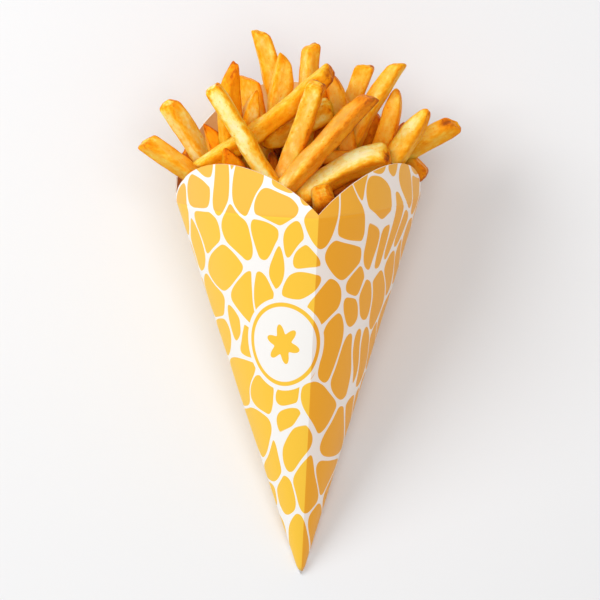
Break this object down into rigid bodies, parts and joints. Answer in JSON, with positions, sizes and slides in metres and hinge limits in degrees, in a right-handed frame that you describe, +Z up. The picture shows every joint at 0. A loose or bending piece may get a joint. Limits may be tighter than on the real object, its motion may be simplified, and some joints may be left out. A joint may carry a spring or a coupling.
{
  "type": "french fries in a board cone",
  "caption": "Folded board cone with scalloped lobes, heaped with french fries and lying on its back with the open front up.",
  "frame": {"origin": "middle of the underside of the whole, on the surface that the cone lies on", "axes": "+Z up, towards the front crease of the cone; +Y from the tip of the cone to the fries; +X across the cone, to the right when the fries are at the far end"},
  "size_m": [0.146, 0.2418, 0.1018],
  "materials": {
    "printed_board": "satin printed paperboard, amber cells on white outside, plain kraft inside",
    "fried_potato": "crisp golden fried potato, paler on the flat faces and browner at ends and edges"
  },
  "bodies": {
    "root": {"board_cone": "printed_board", "fries": "fried_potato"}
  },
  "joints": []
}
